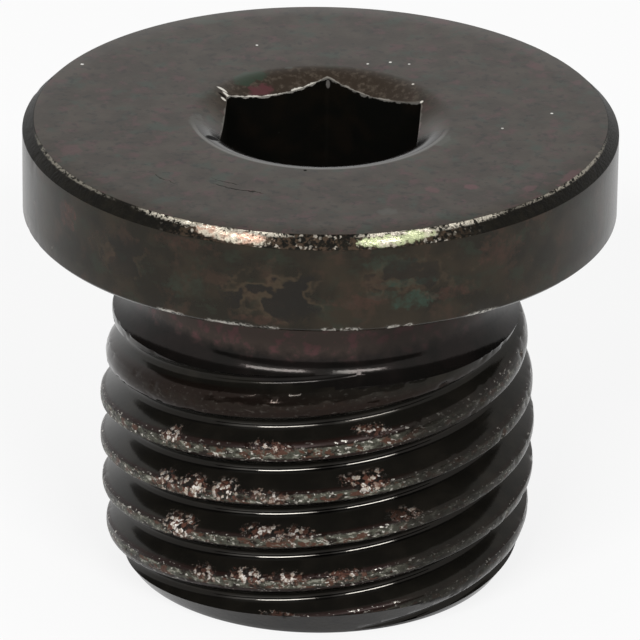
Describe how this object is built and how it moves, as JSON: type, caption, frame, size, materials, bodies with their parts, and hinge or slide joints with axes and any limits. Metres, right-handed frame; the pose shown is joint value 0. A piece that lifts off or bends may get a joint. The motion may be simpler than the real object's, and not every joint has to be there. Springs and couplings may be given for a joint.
{
  "type": "hex socket screw plug",
  "caption": "Flanged screw plug: a round flange with a countersunk hexagon socket over a relieved neck and a threaded shank.",
  "frame": {"origin": "centre of the end face of the thread, on the plug's axis", "axes": "+Z along the plug's axis, from the end of the thread towards the flange; -Y is the side seen in front"},
  "size_m": [0.0186, 0.0186, 0.015],
  "materials": {
    "black_oxide_steel": "black oxide, satin on the flange and glossy on the thread, with worn crests"
  },
  "bodies": {
    "root": {"plug": "black_oxide_steel"}
  },
  "joints": []
}
